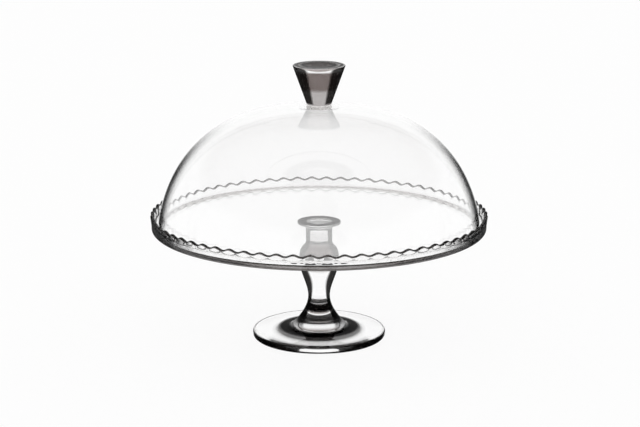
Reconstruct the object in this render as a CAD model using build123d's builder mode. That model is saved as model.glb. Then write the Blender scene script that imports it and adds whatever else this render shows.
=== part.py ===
from build123d import *
from math import asin, cos, degrees, pi, radians, sin
import os

# Glass cake stand with a lift-off dome: a pressed pedestal, a plate with a scalloped and
# fluted gallery, a thin blown dome and a solid cone knob. All sizes are in millimetres.
# The origin is at the centre of the foot's underside and +Z points up.

# Pedestal
pedestal_height = 110.2  # floor to the land that carries the plate
foot_radius = 64.0
foot_edge_height = 6.6  # thick rounded edge of the foot
foot_bottom_round = 3.0
foot_top_round = 2.2
foot_top_rise = 2.6  # how far the foot's top climbs before the stem flares up
foot_top_inner_radius = 33.0
foot_hollow_radius = 52.0  # shallow hollow pressed into the underside
foot_hollow_depth = 1.4
punt_radius = 15.5  # round mark in the middle of the hollow
punt_depth = 0.8
punt_taper = 20.0  # degrees
flare_radius = 17.6
flare_height = 20.9
waist_radius = 10.45
waist_height = 38.8
taper_radius = 14.3
taper_height = 56.2
belly_radius = 18.9
belly_drop = 35.2  # below the land
shoulder_mid_radius = 16.7
shoulder_mid_drop = 25.9
neck_radius = 12.5
neck_low_drop = 19.5
neck_high_drop = 7.7
land_radius = 20.7
land_edge = 1.6
flange_lip_slope = 0.25  # how steeply the flange still rises where it meets the land's edge
land_recess_radius = 11.5
land_recess_depth = 1.3
land_recess_taper = 30.0  # degrees

# Clear bond between the pedestal's land and the plate
plate_bond_thickness = 0.2
plate_bond_inset = 0.3  # the bond stops this far inside both edges of the land

# Plate
plate_radius = 161.0  # over the crests of the scallops
plate_floor_thickness = 4.0
gallery_height = 8.4  # crest above the floor of the plate
gallery_top_wall = 3.2
gallery_foot_wall = 4.2
skirt_depth = 2.8  # how far the edge hangs below the underside
skirt_inner_radius = 150.5
skirt_slope_width = 3.0
skirt_round = 1.2
band_height = 5.2  # plain edge band, from the skirt up to the flutes
band_radius_step = 1.2  # the band is this much smaller than the crests
band_bottom_round = 2.4
floor_corner_round = 1.8
scallop_pitch = 15.33
scallop_drop = 2.6  # crest to trough
crest_land = 1.2  # level top of each crest
crest_slope = 12.0  # degrees at which the edge leaves a crest
flute_depth = 1.6  # depth of the groove between two panes, at the edge
cutter_margin = 4.0

# Dome
dome_gap = 2.4  # between the dome's rim and the gallery at the floor
dome_height = 111.2  # plate floor to the crown, outside
dome_wall = 3.6
crown_radius = 270.0
crown_reach = 61.7  # from the axis to where the crown turns into the shoulder
shoulder_radius = 118.0
shoulder_inset = 13.6  # from the rim in to where the shoulder turns into the wall
rim_round = 1.1
boss_radius = 12.7  # raised seat for the knob
boss_height = 1.2

# Knob and its bond
knob_bond_thickness = 0.3
knob_height = 37.3
knob_base_radius = 11.6
knob_top_radius = 25.1
knob_base_round = 0.6
knob_top_round = 0.7
dimple_radius = 13.2
dimple_depth = 2.4

# Heights that follow
plate_underside = pedestal_height + plate_bond_thickness
plate_floor = plate_underside + plate_floor_thickness
crest_height = plate_floor + gallery_height
trough_height = crest_height - scallop_drop
skirt_bottom = plate_underside - skirt_depth
band_top = skirt_bottom + band_height
dome_top = plate_floor + dome_height
boss_top = dome_top + boss_height
knob_base = boss_top + knob_bond_thickness
knob_top = knob_base + knob_height

# Radii that follow
band_radius = plate_radius - band_radius_step
groove_radius = plate_radius - flute_depth
floor_radius = band_radius - gallery_foot_wall
gallery_inner_top = plate_radius - gallery_top_wall
dome_radius = floor_radius - dome_gap
scallop_count = round(2 * pi * plate_radius / scallop_pitch)
hollow_ball = (foot_hollow_radius**2 + foot_hollow_depth**2) / (2 * foot_hollow_depth)
dimple_ball = (dimple_radius**2 + dimple_depth**2) / (2 * dimple_depth)
pane_bulge_radius = (scallop_pitch**2 / 4 + flute_depth**2) / (2 * flute_depth)

os.makedirs("parts", exist_ok=True)

# Pedestal: one pressing, from the foot through the waist and belly to the flanged land
with BuildPart() as pedestal:
    with BuildSketch(Plane.XZ) as pedestal_half:
        with BuildLine():
            foot_side = Line((0, 0), (foot_radius, 0))
            foot_edge = Line(foot_side @ 1, (foot_radius, foot_edge_height))
            foot_top = Line(
                foot_edge @ 1,
                (foot_top_inner_radius, foot_edge_height + foot_top_rise),
            )
            stem = Spline(
                foot_top @ 1,
                (flare_radius, flare_height),
                (waist_radius, waist_height),
                (taper_radius, taper_height),
                (belly_radius, pedestal_height - belly_drop),
                tangents=[foot_top % 1, (0, 1)],
            )
            shoulder = Spline(
                stem @ 1,
                (shoulder_mid_radius, pedestal_height - shoulder_mid_drop),
                (neck_radius, pedestal_height - neck_low_drop),
                tangents=[(0, 1), (0, 1)],
            )
            neck = Line(
                shoulder @ 1, (neck_radius, pedestal_height - neck_high_drop)
            )
            flange_turn = Spline(
                neck @ 1,
                (land_radius, pedestal_height - land_edge),
                tangents=[(0, 1), (1, flange_lip_slope)],
            )
            Polyline(
                flange_turn @ 1,
                (land_radius, pedestal_height),
                (0, pedestal_height),
                (0, 0),
            )
        make_face()
        foot_corners = pedestal_half.vertices().group_by(Axis.X)[-1].sort_by(Axis.Y)
        fillet(foot_corners[0], foot_bottom_round)
        fillet(foot_corners[-1], foot_top_round)
    revolve(axis=Axis.Z)
    with BuildSketch(Plane.XZ) as foot_hollow:
        with BuildLine():
            hollow_floor = Line((0, 0), (foot_hollow_radius, 0))
            RadiusArc(hollow_floor @ 1, (0, foot_hollow_depth), -hollow_ball)
            Line((0, foot_hollow_depth), (0, 0))
        make_face()
    revolve(axis=Axis.Z, mode=Mode.SUBTRACT)
    with BuildSketch():
        Circle(punt_radius)
    extrude(amount=foot_hollow_depth + punt_depth, taper=punt_taper, mode=Mode.SUBTRACT)
    with BuildSketch(Plane.XY.offset(pedestal_height)):
        Circle(land_recess_radius)
    extrude(amount=-land_recess_depth, taper=land_recess_taper, mode=Mode.SUBTRACT)
pedestal.part.label = "pedestal"
export_step(pedestal.part, "parts/pedestal.step")

# Clear bond ring on the land
with BuildPart() as plate_bond:
    with BuildSketch(Plane.XY.offset(pedestal_height)):
        Circle(land_radius - plate_bond_inset)
        Circle(land_recess_radius + plate_bond_inset, mode=Mode.SUBTRACT)
    extrude(amount=plate_bond_thickness)
plate_bond.part.label = "plate_bond"
export_step(plate_bond.part, "parts/plate_bond.step")

# Cutters for one trough of the gallery: the dip in its edge, and the groove between two
# panes, which is deepest at the edge and runs out where the plain band starts
dip_reach = scallop_pitch / 2 - crest_land / 2
dip_start = gallery_inner_top - cutter_margin
with BuildPart() as dip:
    with BuildSketch(Plane(origin=(dip_start, 0, 0), x_dir=(0, 1, 0), z_dir=(1, 0, 0))):
        with BuildLine():
            dip_floor = Spline(
                (-dip_reach, crest_height),
                (0, trough_height),
                (dip_reach, crest_height),
                tangents=[
                    (cos(radians(crest_slope)), -sin(radians(crest_slope))),
                    (cos(radians(crest_slope)), sin(radians(crest_slope))),
                ],
            )
            Polyline(
                dip_floor @ 1,
                (dip_reach, crest_height + cutter_margin),
                (-dip_reach, crest_height + cutter_margin),
                dip_floor @ 0,
            )
        make_face()
    extrude(amount=plate_radius + cutter_margin - dip_start)

groove_run = crest_height - band_top
groove_lean = (band_radius - groove_radius) / groove_run
groove_start = groove_radius - groove_lean * cutter_margin
with BuildPart() as groove:
    with BuildSketch(Plane.XY.offset(crest_height + cutter_margin)):
        with BuildLine():
            groove_mouth = groove_start + flute_depth + groove_lean * cutter_margin
            near_pane = RadiusArc(
                (groove_mouth, -scallop_pitch / 2), (groove_start, 0), pane_bulge_radius
            )
            far_pane = RadiusArc(
                (groove_start, 0), (groove_mouth, scallop_pitch / 2), pane_bulge_radius
            )
            Polyline(
                far_pane @ 1,
                (groove_mouth + cutter_margin, scallop_pitch / 2),
                (groove_mouth + cutter_margin, -scallop_pitch / 2),
                near_pane @ 0,
            )
        make_face()
    extrude(amount=groove_run + cutter_margin, dir=(groove_lean, 0, -1))

# Plate: floor, hanging skirt, plain edge band and flared gallery in one revolve, then the
# troughs are cut round the gallery
with BuildPart() as plate:
    with BuildSketch(Plane.XZ) as plate_half:
        Polygon(
            (0, plate_underside),
            (skirt_inner_radius - skirt_slope_width, plate_underside),
            (skirt_inner_radius, skirt_bottom),
            (band_radius, skirt_bottom),
            (band_radius, band_top),
            (plate_radius, crest_height),
            (gallery_inner_top, crest_height),
            (floor_radius, plate_floor),
            (0, plate_floor),
            align=None,
        )
        levels = plate_half.vertices().group_by(Axis.Y)
        fillet(levels[0].sort_by(Axis.X)[-1], band_bottom_round)
        fillet([levels[0].sort_by(Axis.X)[0], levels[1].sort_by(Axis.X)[-1]], skirt_round)
        fillet(levels[3].sort_by(Axis.X)[-1], floor_corner_round)
    revolve(axis=Axis.Z)
    with PolarLocations(0, scallop_count):
        add(groove.part, mode=Mode.SUBTRACT)
    with PolarLocations(0, scallop_count):
        add(dip.part, mode=Mode.SUBTRACT)
plate.part.label = "plate"
export_step(plate.part, "parts/plate.step")

# Dome: thin wall of one thickness, three tangent arcs from the crown to the rim
crown_turn = degrees(asin(crown_reach / crown_radius))
shoulder_axis = crown_reach - shoulder_radius * crown_reach / crown_radius
shoulder_reach = dome_radius - shoulder_inset - shoulder_axis
shoulder_turn = degrees(asin(shoulder_reach / shoulder_radius)) - crown_turn
with BuildPart() as dome:
    with BuildSketch(Plane.XZ) as dome_half:
        with BuildLine():
            crown = CenterArc((0, dome_top - crown_radius), crown_radius, 90, -crown_turn)
            shoulder = JernArc(crown @ 1, crown % 1, shoulder_radius, -shoulder_turn)
            wall = TangentArc(shoulder @ 1, (dome_radius, plate_floor), tangent=shoulder % 1)
            Line(wall @ 1, wall @ 1 + (wall % 1) * dome_wall)
            offset(amount=dome_wall, side=Side.RIGHT)
        make_face()
        split(bisect_by=Plane.XZ.offset(-plate_floor), keep=Keep.BOTTOM)
        fillet(dome_half.vertices().group_by(Axis.Y)[0], rim_round)
    revolve(axis=Axis.Z)
    with BuildSketch(Plane.XY.offset(boss_top)):
        Circle(boss_radius)
    extrude(amount=-boss_height - dome_wall / 2)
dome.part.label = "dome"
export_step(dome.part, "parts/dome.step")

# Knob: solid cone, small end down, with a shallow dimple in its top
with BuildPart() as knob:
    with BuildSketch(Plane.XZ) as knob_half:
        with BuildLine():
            Polyline(
                (0, knob_base),
                (knob_base_radius, knob_base),
                (knob_top_radius, knob_top),
                (dimple_radius, knob_top),
            )
            RadiusArc((dimple_radius, knob_top), (0, knob_top - dimple_depth), dimple_ball)
            Line((0, knob_top - dimple_depth), (0, knob_base))
        make_face()
        knob_corners = knob_half.vertices().sort_by(Axis.X)
        fillet(knob_corners[-1], knob_top_round)
        fillet(knob_half.vertices().group_by(Axis.Y)[0].sort_by(Axis.X)[-1], knob_base_round)
    revolve(axis=Axis.Z)
knob.part.label = "knob"
export_step(knob.part, "parts/knob.step")

# Clear bond between the dome's raised seat and the knob
with BuildPart() as knob_bond:
    with BuildSketch(Plane.XY.offset(boss_top)):
        Circle(knob_base_radius - knob_base_round)
    extrude(amount=knob_bond_thickness)
knob_bond.part.label = "knob_bond"
export_step(knob_bond.part, "parts/knob_bond.step")
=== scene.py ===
from math import acos, asin, atan2, ceil, cos, hypot, pi, radians, sin, tan

import bpy
import numpy as np
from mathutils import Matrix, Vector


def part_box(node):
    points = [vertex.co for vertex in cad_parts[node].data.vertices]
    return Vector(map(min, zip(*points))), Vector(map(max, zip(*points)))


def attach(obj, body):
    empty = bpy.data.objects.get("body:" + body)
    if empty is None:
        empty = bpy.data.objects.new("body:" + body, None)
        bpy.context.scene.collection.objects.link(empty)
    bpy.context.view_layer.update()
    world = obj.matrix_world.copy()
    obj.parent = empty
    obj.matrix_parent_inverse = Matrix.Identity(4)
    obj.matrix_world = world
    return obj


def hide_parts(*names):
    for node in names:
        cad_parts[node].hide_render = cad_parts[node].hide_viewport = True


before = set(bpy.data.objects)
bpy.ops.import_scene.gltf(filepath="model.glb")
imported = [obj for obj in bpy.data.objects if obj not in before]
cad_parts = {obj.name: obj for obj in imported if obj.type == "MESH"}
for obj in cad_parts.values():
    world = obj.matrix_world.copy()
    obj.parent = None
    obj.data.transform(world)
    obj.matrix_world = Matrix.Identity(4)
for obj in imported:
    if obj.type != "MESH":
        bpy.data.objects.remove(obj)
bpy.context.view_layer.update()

# Places and overall sizes, in metres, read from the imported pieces
_, pedestal_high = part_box("pedestal")
plate_low, plate_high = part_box("plate")
dome_low, dome_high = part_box("dome")
knob_low, knob_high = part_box("knob")
plate_bond_low, plate_bond_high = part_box("plate_bond")
knob_bond_low, knob_bond_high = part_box("knob_bond")

LAND_HEIGHT = pedestal_high.z
FOOT_RADIUS = pedestal_high.x
PLATE_UNDERSIDE = plate_bond_high.z
SKIRT_BOTTOM = plate_low.z
CREST_HEIGHT = plate_high.z
PLATE_RADIUS = plate_high.x
PLATE_FLOOR = dome_low.z
BOSS_TOP = dome_high.z
DOME_RADIUS = 0.1532
KNOB_BASE = knob_low.z
KNOB_TOP = knob_high.z

# Pedestal. A drop is measured down from the land.
FOOT_EDGE_HEIGHT = 0.0066
FOOT_BOTTOM_ROUND = 0.0030
FOOT_TOP_ROUND = 0.0022
FOOT_TOP_RISE = 0.0026
FOOT_TOP_INNER = 0.0330
FOOT_HOLLOW_RADIUS = 0.0520
FOOT_HOLLOW_DEPTH = 0.0014
PUNT_RADIUS = 0.0155
PUNT_DEPTH = 0.0008
PUNT_STEP = 0.0006
PUNT_ROUND = 0.0003
FLARE = (0.0176, 0.0209)
WAIST = (0.01045, 0.0388)
TAPER = (0.0143, 0.0562)
BELLY_RADIUS = 0.0189
BELLY_DROP = 0.0352
SHOULDER_MID_RADIUS = 0.0167
SHOULDER_MID_DROP = 0.0259
NECK_RADIUS = 0.0125
NECK_LOW_DROP = 0.0195
NECK_HIGH_DROP = 0.0077
LAND_RADIUS = plate_bond_high.x + 0.0003
LAND_EDGE = 0.0016
FLANGE_LIP_SLOPE = 0.25
LAND_ROUND = 0.0003
LAND_RECESS_RADIUS = 0.0115
LAND_RECESS_DEPTH = 0.0013
LAND_RECESS_STEP = 0.0008

# Plate and its gallery
SCALLOPS = 66
GALLERY_TOP_WALL = 0.0032
GALLERY_FOOT_WALL = 0.0042
SKIRT_INNER_RADIUS = 0.1505
SKIRT_SLOPE_WIDTH = 0.0030
SKIRT_ROUND = 0.0012
BAND_STEP = 0.0012
BAND_HEIGHT = 0.0052
BAND_ROUND = 0.0024
BAND_RADIUS = PLATE_RADIUS - BAND_STEP
BAND_TOP = SKIRT_BOTTOM + BAND_HEIGHT
BAND_ROWS = (0.0016, 0.0006)  # below the band's top, for the line of painted shade drawn there
GALLERY_TOP_INNER = PLATE_RADIUS - GALLERY_TOP_WALL
GALLERY_FOOT_INNER = BAND_RADIUS - GALLERY_FOOT_WALL
CORNER_ROUND = 0.0018
SCALLOP_DROP = 0.0023
FLUTE_DEPTH = 0.0016
FLUTE_START = 0.14  # how far up the wall the flutes start, 1 being the crest
FLUTE_GROWTH = 1.3
FLUTE_RUN_OUT = 1.4
FLUTE_SHARPNESS = 2.4
LIP_ROUND = 0.0012

# Dome
DOME_WALL = 0.0036
CROWN_RADIUS = 0.2700
CROWN_REACH = 0.0617
SHOULDER_RADIUS = 0.1180
SHOULDER_INSET = 0.0136
RIM_ROUND = 0.0011
BOSS_RADIUS = 0.0127
BOSS_HEIGHT = 0.0012
BOSS_INSET = 0.0004
BOSS_TOP_ROUND = 0.0020
BOSS_BLEND = 0.0080  # from the boss out to where the plain crown goes on
BOSS_CORNER = 0.75  # where the blend has its corner, as a share of its width
BOSS_FOOT_ROUND = 0.0040

# Knob
KNOB_BASE_RADIUS = 0.0116
KNOB_TOP_RADIUS = 0.0251
KNOB_BASE_ROUND = 0.0006
KNOB_TOP_ROUND = 0.0007
DIMPLE_RADIUS = 0.0132
DIMPLE_DEPTH = 0.0024
DIMPLE_ROUND = 0.0006

# Fineness of the meshes
TURNS = 256  # steps round a turned piece
STEPS_PER_SCALLOP = 12
WALL_ROWS = 14
LIP_ROWS = 8
INNER_ROWS = 8
STEM_SPACING = 0.004
PLATE_SPACING = 0.012
DOME_SPACING = 0.005
KNOB_SPACING = 0.002
ON_AXIS = 1e-7  # a point nearer the axis than this is on it

# Marks painted on the glass, with their level where nothing is painted: the first mark is painted shade,
# drawn dark, reach is the share of the painted edge shade, depth the share of the deep tone of painted shade,
# early how much sooner the edge shade starts
MARKS = {"ink": 0.0, "reach": 1.0, "depth": 0.0, "early": 0.0}

# Pedestal's marks, painted shade among them. Stops are (radius, level) on the foot and (height, level) on the
# stem.
UNDERSIDE_TOP = 0.004
HOLLOW_PAINTED_SHADE = ((0.0185, 0.05), (0.0200, 0.97), (0.0405, 0.97), (0.0425, 0.0))
FOOT_TOP = 0.012
FOOT_INNER = 0.012
FOOT_PAINTED_SHADE = ((0.026, 0.0), (0.029, 0.9), (0.0375, 0.9), (0.0395, 0.0))
FLARE_PAINTED_SHADE = ((0.0272, 0.0), (0.0282, 0.96), (0.0335, 0.96), (0.0342, 0.0))
LAND_REACH = ((0.1025, 1.0), (0.1045, 0.78))
STEM_SHADE_TONE = ((0.0665, 0.0), (0.0690, 1.0), (0.0870, 1.0), (0.0900, 0.35), (0.1000, 0.35), (0.1020, 0.0))
RIM_WIDTH = 0.0012
RIM_TOP = 0.0075
RIM_EARLY = 0.165

# Plate's marks, painted shade among them. Stops are (height above the skirt's bottom, level) and (radius,
# level).
LIP_DROP = 0.0002
LIP_SPLIT = PLATE_RADIUS - GALLERY_TOP_WALL / 2 - 0.0006
LIP_SHADE_OUTSIDE = 0.9
LIP_SHADE_INSIDE = 0.68
BAND_INNER = PLATE_RADIUS - 0.0045
BAND_PAINTED_SHADE = ((0.0012, 0.56), (0.0036, 0.54), (0.0045, 0.9), (0.0053, 0.9), (0.0057, 0.0))
GALLERY_REACH = ((PLATE_RADIUS - 0.0035, 0.0), (PLATE_RADIUS - 0.0025, 1.0))

# Knob's marks, painted shade among them. Stops are (height, level) on the cone and (radius, level) on the
# dished top.
KNOB_SHADE_TONE = (
    (KNOB_BASE + 0.0135, 0.68), (KNOB_BASE + 0.0165, 1.0), (KNOB_TOP - 0.0040, 1.0), (KNOB_TOP - 0.0034, 0.0),
)
KNOB_REACH = ((KNOB_BASE + 0.0012, 0.0), (KNOB_BASE + 0.0022, 1.0))
KNOB_PAINTED_SHADE = (
    (0.011, 0.74), (0.0145, 0.9), (0.0165, 0.9), (0.0175, 0.62), (0.0195, 0.5), (0.0205, 0.8),
    (KNOB_TOP_RADIUS - 0.0014, 0.8), (KNOB_TOP_RADIUS - 0.0008, 0.0),
)

# Looks
WHITE = (1, 1, 1)
FLOOR_TONE = (0.985, 0.985, 0.985)
PASSING_TONE = (0.99, 0.99, 0.99)
FILM_PALE = (0.92, 0.90, 0.89)
FILM_CLOUD = (0.80, 0.78, 0.77)
FILM_CLOUD_SCALE = 180
GLASS_IOR = 1.5
BOND_IOR = 1.01
PRESSED_FLAT = (0.3, 0.9)
NO_RIM = (0.98, 1.0)

# Studio. Glass sees dark above this, as the sine of the elevation, full from the second on.
CEILING_START = 0.30
CEILING_FULL = 0.50
CEILING_TONE = (0.36, 0.33, 0.32)
FLOOR_HALF = 12
FLOOR_DROP = 0.0002  # the floor lies this far under the foot
CAMERA_PLACE = (0.0009, -1.854, 0.5803)
CAMERA_TILT = 13.92  # degrees down from level
CAMERA_LENS = 112.5


def line(start, end, count):
    """Evenly spaced points from start up to, and without, end."""
    return [
        (start[0] + (end[0] - start[0]) * k / count, start[1] + (end[1] - start[1]) * k / count)
        for k in range(count)
    ]


def arc(centre, radius, start_turn, end_turn, count):
    """Points on an arc, both ends included. A turn is an angle from +r towards +z, in degrees."""
    turns = np.radians(np.linspace(start_turn, end_turn, count))
    return [(centre[0] + radius * cos(t), centre[1] + radius * sin(t)) for t in turns]


def smooth(points, first, last, per_span=14):
    """A smooth cubic through points, leaving along first and arriving along last."""
    p = np.array(points, float)
    spans = np.diff(np.r_[0, np.cumsum(np.hypot(*np.diff(p, axis=0).T))])
    count = len(p)
    ties = np.zeros((count, count))
    pulls = np.zeros((count, 2))
    ties[0, 0] = ties[-1, -1] = 1
    pulls[0] = np.array(first) / hypot(*first)
    pulls[-1] = np.array(last) / hypot(*last)
    for i in range(1, count - 1):
        before, after = spans[i - 1], spans[i]
        ties[i, i - 1], ties[i, i], ties[i, i + 1] = after, 2 * (before + after), before
        pulls[i] = 3 * (after * (p[i] - p[i - 1]) / before + before * (p[i + 1] - p[i]) / after)
    slope = np.linalg.solve(ties, pulls)
    out = []
    for i, span in enumerate(spans):
        for k in range(per_span):
            t = k / per_span
            out.append(tuple(
                (1 + 2 * t) * (1 - t) ** 2 * p[i] + t * (1 - t) ** 2 * span * slope[i]
                + t * t * (3 - 2 * t) * p[i + 1] + t * t * (t - 1) * span * slope[i + 1]
            ))
    return out + [tuple(p[-1])]


def rounded(corners, steps=6):
    """A line through corners (r, z, round) with each corner turned on its own radius."""
    out = []
    last = len(corners) - 1
    for i, (r, z, turn) in enumerate(corners):
        if i in (0, last) or not turn:
            out.append((r, z))
            continue
        here = np.array((r, z))
        back = np.array(corners[i - 1][:2]) - here
        on = np.array(corners[i + 1][:2]) - here
        back /= hypot(*back)
        on /= hypot(*on)
        half = acos(max(-1.0, min(1.0, float(back @ on)))) / 2
        reach = turn / tan(half)
        middle = here + (back + on) / hypot(*(back + on)) * turn / sin(half)
        start = here + back * reach - middle
        end = here + on * reach - middle
        a0 = atan2(start[1], start[0])
        sweep = (atan2(end[1], end[0]) - a0 + pi) % (2 * pi) - pi
        out += [
            (middle[0] + turn * cos(a0 + sweep * k / steps), middle[1] + turn * sin(a0 + sweep * k / steps))
            for k in range(steps + 1)
        ]
    return out


def dense(points, longest):
    """The same outline with extra points on its long runs."""
    out = []
    for a, b in zip(points, points[1:]):
        out += line(a, b, max(1, ceil(hypot(b[0] - a[0], b[1] - a[1]) / longest)))
    return out + [points[-1]]


def new_mesh(name, verts, faces):
    mesh = bpy.data.meshes.new(name)
    mesh.from_pydata(verts, [], faces)
    mesh.validate()
    mesh.shade_smooth()
    piece = bpy.data.objects.new(name, mesh)
    bpy.context.collection.objects.link(piece)
    return piece


def bridged(rings, steps):
    """Faces from each ring to the next. A ring with one point is a pole on the axis."""
    faces = []
    for low, high in zip(rings, rings[1:]):
        for k in range(steps):
            j = (k + 1) % steps
            if len(low) == 1:
                faces.append((low[0], high[j], high[k]))
            elif len(high) == 1:
                faces.append((low[k], low[j], high[0]))
            else:
                faces.append((low[k], low[j], high[j], high[k]))
    return faces


def turned(name, outline, closed=False):
    """A solid of revolution. An open outline starts and ends on the axis."""
    verts, rings = [], []
    for r, z in outline:
        if r < ON_AXIS:
            rings.append([len(verts)])
            verts.append((0, 0, z))
            continue
        rings.append(range(len(verts), len(verts) + TURNS))
        verts += [(r * cos(2 * pi * k / TURNS), r * sin(2 * pi * k / TURNS), z) for k in range(TURNS)]
    if closed:
        rings.append(rings[0])
    return new_mesh(name, verts, bridged(rings, TURNS))


def pedestal_outline():
    """From the middle of the foot's underside, out, up the stem and in to the middle of the land."""
    hollow_ball = (FOOT_HOLLOW_RADIUS**2 + FOOT_HOLLOW_DEPTH**2) / (2 * FOOT_HOLLOW_DEPTH)
    hollow_edge = 90 - np.degrees(asin(FOOT_HOLLOW_RADIUS / hollow_ball))
    punt_edge = 90 - np.degrees(asin(PUNT_RADIUS / hollow_ball))
    ball_centre = (0, FOOT_HOLLOW_DEPTH - hollow_ball)
    punt_top = FOOT_HOLLOW_DEPTH + PUNT_DEPTH
    hollow = arc(ball_centre, hollow_ball, punt_edge, hollow_edge, 12)
    underside = rounded([
        (0, punt_top, 0),
        (PUNT_RADIUS - PUNT_STEP, punt_top, PUNT_ROUND),
        (*hollow[0], PUNT_ROUND),
        (*hollow[1], 0),
    ], 4)
    foot = rounded([
        (*hollow[-1], 0),
        (FOOT_RADIUS, 0, FOOT_BOTTOM_ROUND),
        (FOOT_RADIUS, FOOT_EDGE_HEIGHT, FOOT_TOP_ROUND),
        (FOOT_TOP_INNER, FOOT_EDGE_HEIGHT + FOOT_TOP_RISE, 0),
    ], 10)
    foot_slope = (FOOT_TOP_INNER - FOOT_RADIUS, FOOT_TOP_RISE)
    belly = (BELLY_RADIUS, LAND_HEIGHT - BELLY_DROP)
    stem = smooth([foot[-1], FLARE, WAIST, TAPER, belly], foot_slope, (0, 1))
    neck_low = (NECK_RADIUS, LAND_HEIGHT - NECK_LOW_DROP)
    neck_high = (NECK_RADIUS, LAND_HEIGHT - NECK_HIGH_DROP)
    shoulder_mid = (SHOULDER_MID_RADIUS, LAND_HEIGHT - SHOULDER_MID_DROP)
    shoulder = smooth([belly, shoulder_mid, neck_low], (0, 1), (0, 1))
    flange = smooth([neck_high, (LAND_RADIUS, LAND_HEIGHT - LAND_EDGE)], (0, 1), (1, FLANGE_LIP_SLOPE))
    recess_floor = LAND_HEIGHT - LAND_RECESS_DEPTH
    land = rounded([
        (*flange[-1], 0),
        (LAND_RADIUS, LAND_HEIGHT, LAND_ROUND),
        (LAND_RECESS_RADIUS, LAND_HEIGHT, LAND_ROUND),
        (LAND_RECESS_RADIUS - LAND_RECESS_STEP, recess_floor, LAND_ROUND),
        (0, recess_floor, 0),
    ], 5)
    outline = underside[:-1] + hollow[1:-1] + foot[:-1] + stem[:-1] + shoulder + flange[:-1] + land
    return dense(outline, STEM_SPACING)


def dome_arcs():
    """The dome's tangent arcs for crown, shoulder and wall: centre, radius and turn where it ends."""
    crown_top = BOSS_TOP - BOSS_HEIGHT
    crown_turn = asin(CROWN_REACH / CROWN_RADIUS)
    shoulder_axis = CROWN_REACH - SHOULDER_RADIUS * sin(crown_turn)
    crown_centre = (0, crown_top - CROWN_RADIUS)
    crown_end = (CROWN_REACH, crown_centre[1] + CROWN_RADIUS * cos(crown_turn))
    shoulder_centre = (shoulder_axis, crown_end[1] - SHOULDER_RADIUS * cos(crown_turn))
    shoulder_turn = asin((DOME_RADIUS - SHOULDER_INSET - shoulder_axis) / SHOULDER_RADIUS)
    outward = np.array((sin(shoulder_turn), cos(shoulder_turn)))
    shoulder_end = np.array(shoulder_centre) + SHOULDER_RADIUS * outward
    chord = np.array((DOME_RADIUS, PLATE_FLOOR)) - shoulder_end
    wall_radius = -float(chord @ chord) / (2 * float(chord @ outward))
    wall_centre = shoulder_end - wall_radius * outward
    return (
        (crown_centre, CROWN_RADIUS, crown_turn),
        (shoulder_centre, SHOULDER_RADIUS, shoulder_turn),
        (wall_centre, wall_radius, pi),
    )


DOME_ARCS = dome_arcs()


def dome_side(inward):
    """The dome's wall from the axis down to its rim, moved inwards from the outside."""
    crown, shoulder, wall = DOME_ARCS
    crown_centre, _, crown_turn = crown
    shoulder_centre, _, shoulder_turn = shoulder
    wall_centre, wall_radius, _ = wall
    crown_end = 90 - np.degrees(crown_turn)
    shoulder_end = 90 - np.degrees(shoulder_turn)
    wall_end = np.degrees(asin((PLATE_FLOOR - wall_centre[1]) / (wall_radius - inward)))
    return (
        arc(crown_centre, CROWN_RADIUS - inward, 90, crown_end, 24)[:-1]
        + arc(shoulder_centre, SHOULDER_RADIUS - inward, crown_end, shoulder_end, 48)[:-1]
        + arc(wall_centre, wall_radius - inward, shoulder_end, wall_end, 28)
    )


def dome_outline():
    """From the crown's inside down to the rim, round it and up the outside to the boss."""
    inner = dome_side(DOME_WALL)
    outside = [p for p in dome_side(0) if p[0] > BOSS_RADIUS + BOSS_BLEND]
    corner_radius = BOSS_RADIUS + BOSS_BLEND * BOSS_CORNER
    crown_top = BOSS_TOP - BOSS_HEIGHT
    boss = rounded([
        (0, BOSS_TOP, 0),
        (BOSS_RADIUS - BOSS_INSET, BOSS_TOP, BOSS_TOP_ROUND),
        (corner_radius, crown_top - corner_radius**2 / (2 * CROWN_RADIUS), BOSS_FOOT_ROUND),
        (*outside[0], 0),
    ], 5)
    rim = rounded([
        (*outside[-2], 0),
        (*outside[-1], RIM_ROUND),
        (*inner[-1], RIM_ROUND),
        (*inner[-2], 0),
    ], 8)
    return dense(inner[:-2] + rim[::-1][1:-1] + outside[:-2][::-1] + boss[::-1][1:], DOME_SPACING)


def knob_outline():
    """From the middle of the knob's base, up the cone and in over the dimple."""
    ball = (DIMPLE_RADIUS**2 + DIMPLE_DEPTH**2) / (2 * DIMPLE_DEPTH)
    edge = np.degrees(asin(DIMPLE_RADIUS / ball))
    dimple = arc((0, KNOB_TOP - DIMPLE_DEPTH + ball), ball, 270, 270 + edge, 16)
    corners = rounded([
        (0, KNOB_BASE, 0),
        (KNOB_BASE_RADIUS, KNOB_BASE, KNOB_BASE_ROUND),
        (KNOB_TOP_RADIUS, KNOB_TOP, KNOB_TOP_ROUND),
        (*dimple[-1], DIMPLE_ROUND),
        (*dimple[-3], 0),
    ])
    return dense(corners + dimple[:-3][::-1], KNOB_SPACING)


def edge_height(across):
    """Height of the scalloped edge across one pane, from -1 to 1 with the crest at 0."""
    return CREST_HEIGHT - SCALLOP_DROP * (1 - cos(pi * across)) / 2


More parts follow.
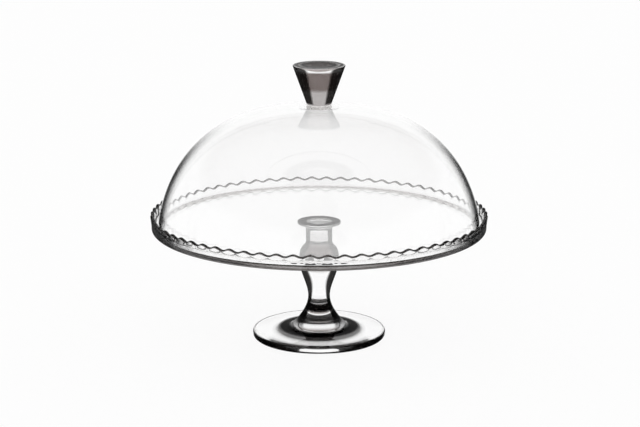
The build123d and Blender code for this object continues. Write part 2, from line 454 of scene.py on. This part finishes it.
def plate_section(across, underside, inside):
    """The plate's cross-section at a place across one pane: underside, fluted wall, lip and inside."""
    wall_height = edge_height(across) - LIP_ROUND - BAND_TOP
    out = list(underside)
    for k in range(1, WALL_ROWS + 1):
        z = BAND_TOP + wall_height * (k / WALL_ROWS)
        rise = (z - BAND_TOP) / (CREST_HEIGHT - BAND_TOP)
        fade = min(1.0, max(0.0, rise - FLUTE_START) * FLUTE_GROWTH) ** FLUTE_RUN_OUT
        depth = FLUTE_DEPTH * fade * abs(across) ** FLUTE_SHARPNESS
        out.append((BAND_RADIUS + BAND_STEP * rise - depth, z))
    outer_r, lip_z = out[-1]
    flare = GALLERY_TOP_INNER - GALLERY_FOOT_INNER
    inner_r = GALLERY_TOP_INNER - flare * (CREST_HEIGHT - lip_z) / (CREST_HEIGHT - PLATE_FLOOR)
    middle = (outer_r + inner_r) / 2
    half = (outer_r - inner_r) / 2
    for k in range(1, LIP_ROWS):
        turn = pi * k / LIP_ROWS
        out.append((middle + half * cos(turn), lip_z + LIP_ROUND * sin(turn)))
    out += line((inner_r, lip_z), inside[0], INNER_ROWS)
    return out + inside


def plate_piece():
    """The plate: one cross-section, swept round, whose edge dips and whose wall is fluted."""
    underside = dense(rounded([
        (0.0, PLATE_UNDERSIDE, 0),
        (SKIRT_INNER_RADIUS - SKIRT_SLOPE_WIDTH, PLATE_UNDERSIDE, SKIRT_ROUND),
        (SKIRT_INNER_RADIUS, SKIRT_BOTTOM, SKIRT_ROUND),
        (BAND_RADIUS, SKIRT_BOTTOM, BAND_ROUND),
        *((BAND_RADIUS, BAND_TOP - row, 0) for row in BAND_ROWS),
        (BAND_RADIUS, BAND_TOP, 0),
    ], 8), PLATE_SPACING)
    inside = dense(rounded([
        (GALLERY_TOP_INNER, CREST_HEIGHT, 0),
        (GALLERY_FOOT_INNER, PLATE_FLOOR, CORNER_ROUND),
        (0, PLATE_FLOOR, 0),
    ])[1:], PLATE_SPACING)
    sections = [
        plate_section(2 * k / STEPS_PER_SCALLOP - 1, underside, inside) for k in range(STEPS_PER_SCALLOP)
    ]
    steps = SCALLOPS * STEPS_PER_SCALLOP
    verts, rings = [], []
    for row in zip(*sections):
        if row[0][0] < ON_AXIS:
            rings.append([len(verts)])
            verts.append((0, 0, row[0][1]))
            continue
        rings.append(range(len(verts), len(verts) + steps))
        for k in range(steps):
            r, z = row[k % STEPS_PER_SCALLOP]
            turn = 2 * pi * (k / STEPS_PER_SCALLOP - 0.5) / SCALLOPS
            verts.append((r * cos(turn), r * sin(turn), z))
    return new_mesh("scalloped_plate", verts, bridged(rings, steps))


# Painted marks: painted shade on the glass and how far its edge shade reaches

def ramp(value, stops):
    """A broken line through (value, level) stops."""
    places, levels = zip(*stops)
    return float(np.interp(value, places, levels))


def stem_ink(at):
    """Painted shade in the foot's hollow, on the foot over it, and in a band on the flare."""
    r = hypot(at.x, at.y)
    if at.z < UNDERSIDE_TOP:
        return ramp(r, HOLLOW_PAINTED_SHADE)
    if at.z < FOOT_TOP and r > FOOT_INNER:
        return ramp(r, FOOT_PAINTED_SHADE)
    return ramp(at.z, FLARE_PAINTED_SHADE)


def stem_reach(at):
    """Less edge shading on the flange and the land."""
    return ramp(at.z, LAND_REACH)


def stem_shade_tone(at):
    """A deep tone of painted shade in the belly, lighter in the neck."""
    return ramp(at.z, STEM_SHADE_TONE)


def rim_early(at):
    """The painted edge shade starts sooner on the foot's rim than on the stem."""
    return RIM_EARLY if hypot(at.x, at.y) > FOOT_RADIUS - RIM_WIDTH and at.z < RIM_TOP else 0.0


def plate_ink(at):
    """Painted shade on the curled lip, more so outside, and on the plain band, most where the panes end."""
    r = hypot(at.x, at.y)
    across = 2 * ((atan2(at.y, at.x) * SCALLOPS / (2 * pi) + 0.5) % 1) - 1
    if at.z - edge_height(across) + LIP_ROUND > -LIP_DROP:
        return LIP_SHADE_OUTSIDE if r > LIP_SPLIT else LIP_SHADE_INSIDE
    if r < BAND_INNER:
        return 0.0
    return ramp(at.z - SKIRT_BOTTOM, BAND_PAINTED_SHADE)


def plate_reach(at):
    """Edge shading on the outside of the gallery alone."""
    return ramp(hypot(at.x, at.y), GALLERY_REACH)


def dome_reach(at):
    """Edge shading on the outside of the wall alone."""
    r = hypot(at.x, at.y)
    for centre, radius, last_turn in DOME_ARCS:
        if atan2(r - centre[0], at.z - centre[1]) <= last_turn:
            break
    return float(hypot(r - centre[0], at.z - centre[1]) > radius - DOME_WALL / 2)


def knob_shade_tone(at):
    """A deep tone of painted shade in the upper part of the cone, lighter in the lower part."""
    return ramp(at.z, KNOB_SHADE_TONE)


def knob_reach(at):
    """No edge shading at the seat."""
    return ramp(at.z, KNOB_REACH)


def knob_ink(at):
    """Painted shade on the dished top, darkest round the dish."""
    if at.z < KNOB_TOP - DIMPLE_DEPTH:
        return 0.0
    return ramp(hypot(at.x, at.y), KNOB_PAINTED_SHADE)


def paint(piece, **rules):
    """Marks of painted shade on the glass at each point, by a rule for each mark that isn't plain."""
    for mark, plain in MARKS.items():
        rule = rules.get(mark)
        layer = piece.data.attributes.new(mark, "FLOAT", "POINT")
        values = [rule(v.co) if rule else plain for v in piece.data.vertices]
        layer.data.foreach_set("value", values)
    return piece


# Materials

def shaders(name):
    """A new material with an empty tree of nodes."""
    material = bpy.data.materials.new(name)
    material.use_nodes = True
    material.node_tree.nodes.clear()
    return material, material.node_tree


def feed(tree, socket, given):
    """Gives a socket a number, a colour or another node's output."""
    if isinstance(given, bpy.types.NodeSocket):
        tree.links.new(given, socket)
    elif isinstance(given, tuple):
        socket.default_value = (*given, 1)
    else:
        socket.default_value = given


def add(tree, kind, given=None, group=None):
    """A new node with its inputs fed. A group node gets its group first."""
    node = tree.nodes.new(kind)
    if group:
        node.node_tree = group
    for name, value in (given or {}).items():
        feed(tree, node.inputs[name], value)
    return node


def steps_between(tree, value, low, high):
    """0 below low, 1 above high and a soft step between them."""
    span = add(tree, "ShaderNodeMapRange", {"Value": value, "From Min": low, "From Max": high})
    span.interpolation_type = "SMOOTHSTEP"
    return span.outputs["Result"]


def combine(tree, kind, first, second):
    """One Math node, kept between 0 and 1."""
    node = add(tree, "ShaderNodeMath")
    node.operation = kind
    node.use_clamp = True
    feed(tree, node.inputs[0], first)
    feed(tree, node.inputs[1], second)
    return node.outputs[0]


def mixed_colour(tree, amount, first, second):
    """First where amount is 0, second where it is 1."""
    mix = add(tree, "ShaderNodeMix")
    mix.data_type = "RGBA"
    feed(tree, mix.inputs[0], amount)
    feed(tree, mix.inputs[6], first)
    feed(tree, mix.inputs[7], second)
    return mix.outputs[2]


def new_group(name, numbers, colours, result, result_kind):
    """A node group with its inputs at their usual values and one output."""
    group = bpy.data.node_groups.new(name, "ShaderNodeTree")
    face = group.interface
    for label, value in numbers.items():
        face.new_socket(label, in_out="INPUT", socket_type="NodeSocketFloat").default_value = value
    for label, value in colours.items():
        face.new_socket(label, in_out="INPUT", socket_type="NodeSocketColor").default_value = (*value, 1)
    face.new_socket(result, in_out="OUTPUT", socket_type=result_kind)
    return group, group.nodes.new("NodeGroupInput").outputs, group.nodes.new("NodeGroupOutput").inputs


def edge_shade_group():
    """How dark the painted shade on clear glass is where it is seen edge on, and where shade is painted on
    thick or curled parts.
    """
    group, given, result = new_group("edge_shade", {
        "Facing": 0.0, "Start": 0.15, "End": 0.22, "Strength": 1.0, "Rim Start": 0.98, "Rim End": 1.0,
        "Flat Start": 0.25, "Flat End": 0.88, "Painted Shade": 0.0, "Reach": 1.0, "Early": 0.0,
    }, {}, "Dark", "NodeSocketFloat")
    facing = combine(group, "ADD", given["Facing"], given["Early"])
    edge_on = steps_between(group, facing, given["Start"], given["End"])
    rim = steps_between(group, facing, given["Rim Start"], given["Rim End"])
    edge_on = combine(group, "SUBTRACT", edge_on, rim)
    surface = add(group, "ShaderNodeNewGeometry")
    split = add(group, "ShaderNodeSeparateXYZ", {"Vector": surface.outputs["Normal"]})
    square = combine(group, "MULTIPLY", split.outputs["Z"], split.outputs["Z"])
    flat = steps_between(group, square, given["Flat Start"], given["Flat End"])
    upright = combine(group, "SUBTRACT", 1.0, flat)
    amount = combine(group, "MULTIPLY", edge_on, upright)
    amount = combine(group, "MULTIPLY", amount, given["Strength"])
    amount = combine(group, "MULTIPLY", amount, given["Reach"])
    feed(group, result["Dark"], combine(group, "MAXIMUM", amount, given["Painted Shade"]))
    return group


def tone_group():
    """Colour of the glass: clear, or a deep tone of painted shade where it bends in dark surroundings."""
    group, given, result = new_group(
        "glass_tone", {"Depth": 0.0}, {"Clear": WHITE, "Deep": (0.3, 0.3, 0.3)}, "Color", "NodeSocketColor"
    )
    feed(group, result["Color"], mixed_colour(group, given["Depth"], given["Clear"], given["Deep"]))
    return group


EDGE_SHADE = edge_shade_group()
GLASS_TONE = tone_group()


def glass(name, edge, strength, flat, ink, deep_shade=WHITE, rim=NO_RIM, skin_only=False, ior=GLASS_IOR):
    """Clear glass: bends light, has painted shade at its edges, on its marks and in its deep tone, and lets
    light through its shadow.
    """
    material, tree = shaders(name)
    level = {}
    for mark in MARKS:
        painted = add(tree, "ShaderNodeAttribute")
        painted.attribute_name = mark
        level[mark] = painted.outputs["Fac"]
    weight = add(tree, "ShaderNodeLayerWeight", {"Blend": 0.5})
    dark = add(tree, "ShaderNodeGroup", {
        "Facing": weight.outputs["Facing"], "Painted Shade": level["ink"], "Reach": level["reach"],
        "Early": level["early"], "Start": edge[0], "End": edge[1], "Rim Start": rim[0], "Rim End": rim[1],
        "Strength": strength, "Flat Start": flat[0], "Flat End": flat[1],
    }, EDGE_SHADE).outputs["Dark"]
    if skin_only:
        side = add(tree, "ShaderNodeNewGeometry")
        entering = combine(tree, "SUBTRACT", 1.0, side.outputs["Backfacing"])
        dark = combine(tree, "MULTIPLY", dark, entering)
    # The deep tone is painted shade, standing for dark surroundings that the glass bends in.
    tone = add(tree, "ShaderNodeGroup", {"Depth": level["depth"], "Deep": deep_shade}, GLASS_TONE)
    # The coat lays the painted shade over the glass: its weight is how much, its tint the shade's colour.
    body = add(tree, "ShaderNodeBsdfPrincipled", {
        "Base Color": tone.outputs["Color"], "Roughness": 0.0, "IOR": ior, "Transmission Weight": 1.0,
        "Coat Weight": dark, "Coat IOR": 1.0, "Coat Roughness": 0.1, "Coat Tint": ink,
    })
    passing = add(tree, "ShaderNodeBsdfTransparent", {"Color": PASSING_TONE})
    path = add(tree, "ShaderNodeLightPath")
    lighting = combine(tree, "MAXIMUM", path.outputs["Is Shadow Ray"], path.outputs["Is Diffuse Ray"])
    mix = add(tree, "ShaderNodeMixShader", {"Fac": lighting})
    feed(tree, mix.inputs[1], body.outputs["BSDF"])
    feed(tree, mix.inputs[2], passing.outputs["BSDF"])
    add(tree, "ShaderNodeOutputMaterial", {"Surface": mix.outputs[0]})
    return material


def film():
    """Cured adhesive: pale, faintly cloudy."""
    material, tree = shaders("seat_film")
    cloud = add(tree, "ShaderNodeTexNoise", {"Scale": FILM_CLOUD_SCALE})
    tone = add(tree, "ShaderNodeGroup", {
        "Depth": cloud.outputs["Fac"], "Clear": FILM_PALE, "Deep": FILM_CLOUD,
    }, GLASS_TONE)
    body = add(tree, "ShaderNodeBsdfPrincipled", {"Base Color": tone.outputs["Color"], "Roughness": 0.35})
    add(tree, "ShaderNodeOutputMaterial", {"Surface": body.outputs["BSDF"]})
    return material


def floor_material():
    """Plain, nearly white."""
    material, tree = shaders("pale_floor")
    body = add(tree, "ShaderNodeBsdfDiffuse", {"Color": FLOOR_TONE})
    add(tree, "ShaderNodeOutputMaterial", {"Surface": body.outputs["BSDF"]})
    return material


def studio_world():
    """White all round, but what glass bends in from overhead is dark."""
    world = bpy.data.worlds.new("studio")
    bpy.context.scene.world = world
    world.use_nodes = True
    tree = world.node_tree
    tree.nodes.clear()
    place = add(tree, "ShaderNodeTexCoord")
    split = add(tree, "ShaderNodeSeparateXYZ", {"Vector": place.outputs["Generated"]})
    overhead = steps_between(tree, split.outputs["Z"], CEILING_START, CEILING_FULL)
    path = add(tree, "ShaderNodeLightPath")
    dark = combine(tree, "MULTIPLY", overhead, path.outputs["Is Transmission Ray"])
    tone = mixed_colour(tree, dark, WHITE, CEILING_TONE)
    sky = add(tree, "ShaderNodeBackground", {"Color": tone, "Strength": 1.0})
    add(tree, "ShaderNodeOutputWorld", {"Surface": sky.outputs["Background"]})


# Each glass's painted shade: its colour, its deep tone and the span of its edge shade.
stem_glass = glass(
    "stem_glass", edge=(0.25, 0.35), strength=0.97, flat=PRESSED_FLAT,
    ink=(0.03, 0.021, 0.017), deep_shade=(0.13, 0.10, 0.096),
)
plate_glass = glass(
    "plate_glass", edge=(0.30, 0.62), strength=0.94, flat=PRESSED_FLAT,
    ink=(0.05, 0.037, 0.031), skin_only=True,
)
dome_glass = glass(
    "dome_glass", edge=(0.65, 0.83), strength=0.94, flat=(0.25, 0.88),
    ink=(0.08, 0.06, 0.052), rim=(0.88, 0.95), skin_only=True,
)
knob_glass = glass(
    "knob_glass", edge=(0.2, 0.29), strength=0.955, flat=PRESSED_FLAT,
    ink=(0.035, 0.026, 0.021), deep_shade=(0.155, 0.125, 0.118), skin_only=True,
)
bond_clear = glass(
    "bond_clear", edge=(0.9, 1.0), strength=0.0, flat=PRESSED_FLAT, ink=(0.5, 0.5, 0.5), ior=BOND_IOR,
)


# The pieces

def dress(piece, material, body, slot, *nodes):
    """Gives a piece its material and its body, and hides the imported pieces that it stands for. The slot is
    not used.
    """
    piece.data.materials.append(material)
    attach(piece, body)
    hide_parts(*nodes)


pedestal = turned("turned_pedestal", pedestal_outline())
paint(pedestal, ink=stem_ink, reach=stem_reach, depth=stem_shade_tone, early=rim_early)
dress(pedestal, stem_glass, "stand", "pressed_glass", "pedestal")

plate = plate_piece()
paint(plate, ink=plate_ink, reach=plate_reach)
dress(plate, plate_glass, "stand", "pressed_glass", "plate")

dome = turned("thin_dome", dome_outline())
paint(dome, reach=dome_reach)
dress(dome, dome_glass, "cover", "dome_glass", "dome")

knob = turned("cone_knob", knob_outline())
paint(knob, ink=knob_ink, reach=knob_reach, depth=knob_shade_tone)
dress(knob, knob_glass, "cover", "pressed_glass", "knob")

land_bond_inner = LAND_RECESS_RADIUS + LAND_ROUND
land_bond = turned("land_bond", [
    (land_bond_inner, plate_bond_low.z),
    (plate_bond_high.x, plate_bond_low.z),
    (plate_bond_high.x, plate_bond_high.z),
    (land_bond_inner, plate_bond_high.z),
], closed=True)
paint(land_bond)
dress(land_bond, bond_clear, "stand", "clear_bond", "plate_bond")

seat_bond = turned("seat_bond", [
    (0, knob_bond_low.z),
    (knob_bond_high.x, knob_bond_low.z),
    (knob_bond_high.x, knob_bond_high.z),
    (0, knob_bond_high.z),
])
dress(seat_bond, film(), "cover", "clear_bond", "knob_bond")

floor = new_mesh("floor", [
    (-FLOOR_HALF, -FLOOR_HALF, 0),
    (FLOOR_HALF, -FLOOR_HALF, 0),
    (FLOOR_HALF, FLOOR_HALF, 0),
    (-FLOOR_HALF, FLOOR_HALF, 0),
], [(0, 1, 2, 3)])
floor.data.materials.append(floor_material())
floor.location.z = -FLOOR_DROP

studio_world()

camera_data = bpy.data.cameras.new("camera")
camera_data.lens = CAMERA_LENS
camera = bpy.data.objects.new("camera", camera_data)
camera.location = CAMERA_PLACE
camera.rotation_euler = (radians(90 - CAMERA_TILT), 0, 0)
bpy.context.collection.objects.link(camera)
bpy.context.scene.camera = camera

cycles = bpy.context.scene.cycles
cycles.max_bounces = 32
cycles.transmission_bounces = 32
cycles.glossy_bounces = 12
cycles.transparent_max_bounces = 16
bpy.context.scene.view_settings.view_transform = "Standard"
